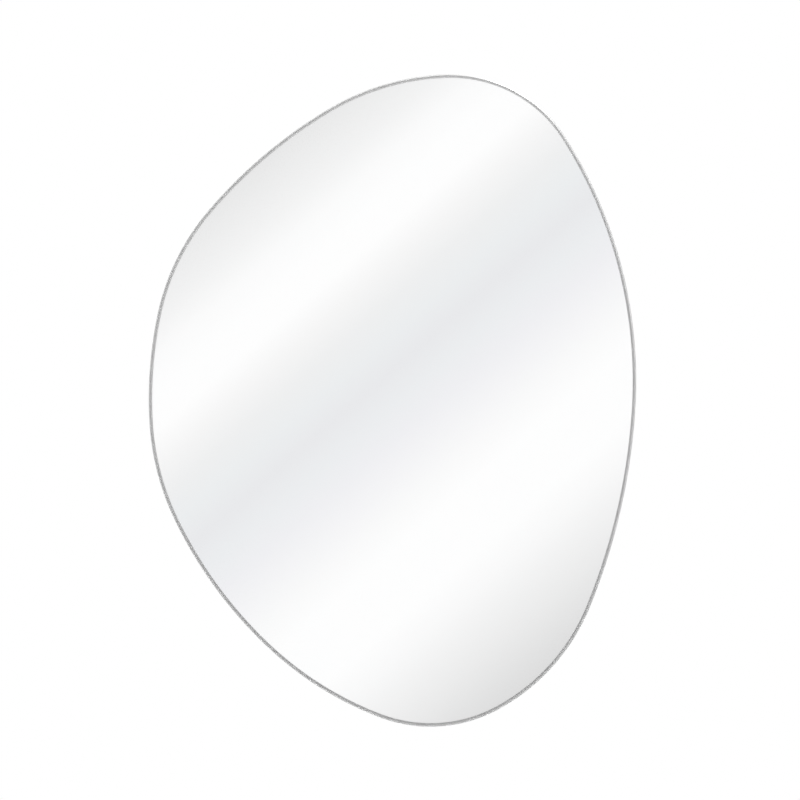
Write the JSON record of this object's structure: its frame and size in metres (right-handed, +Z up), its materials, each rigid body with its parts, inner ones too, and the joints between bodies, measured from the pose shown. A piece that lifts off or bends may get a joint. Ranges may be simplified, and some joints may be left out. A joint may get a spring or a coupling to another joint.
{
  "type": "wall mirror",
  "caption": "frameless wall mirror with an irregular rounded outline, ground edge, backing board and swinging hanging rings",
  "frame": {"origin": "centre of the whole mirror's box, half way through its depth", "axes": "+X to the right seen from the front, +Y from the room into the wall, +Z up"},
  "size_m": [0.6014, 0.0218, 0.8001],
  "materials": {
    "clear_glass": "polished float glass, edge ground satin, with an arris on both faces",
    "silver": "mirror silver, seen through the glass",
    "back_paint": "matt grey protective mirror-back paint",
    "foam_tape": "closed-cell foam tape",
    "mirror_adhesive": "cured neutral silicone",
    "fibreboard": "raw medium-density fibreboard, sanded",
    "plated_strap": "bright zinc plate",
    "plated_wire": "bright nickel plate",
    "plated_screw": "bright zinc plate",
    "bumper_rubber": "matt soft rubber"
  },
  "bodies": {
    "mirror": {"mirror_glass": "clear_glass", "silver_coating": "silver", "backing_paint": "back_paint", "mounting_tape_1": "foam_tape", "mounting_tape_2": "foam_tape", "mounting_tape_3": "foam_tape", "mounting_tape_4": "foam_tape", "mounting_tape_5": "foam_tape", "adhesive_bead_1": "mirror_adhesive", "adhesive_bead_2": "mirror_adhesive", "adhesive_bead_3": "mirror_adhesive", "adhesive_bead_4": "mirror_adhesive", "backing_board": "fibreboard", "hanger_strap_left": "plated_strap", "hanger_strap_right": "plated_strap", "hanger_screw_left_upper": "plated_screw", "hanger_screw_left_lower": "plated_screw", "hanger_screw_right_upper": "plated_screw", "hanger_screw_right_lower": "plated_screw", "wall_bumper_top_left": "bumper_rubber", "wall_bumper_top_right": "bumper_rubber", "wall_bumper_bottom_left": "bumper_rubber", "wall_bumper_bottom_right": "bumper_rubber"},
    "left_ring": {"hanger_ring_left": "plated_wire"},
    "right_ring": {"hanger_ring_right": "plated_wire"}
  },
  "joints": [
    {"name": "left_ring_swing", "type": "hinge", "parent": "mirror", "child": "left_ring", "pos_m": [-0.13737, 0.00756, 0.19], "axis": [-1, 0, 0], "range_deg": [0, 182]},
    {"name": "right_ring_swing", "type": "hinge", "parent": "mirror", "child": "right_ring", "pos_m": [0.16263, 0.00756, 0.19], "axis": [-1, 0, 0], "range_deg": [0, 182]}
  ]
}
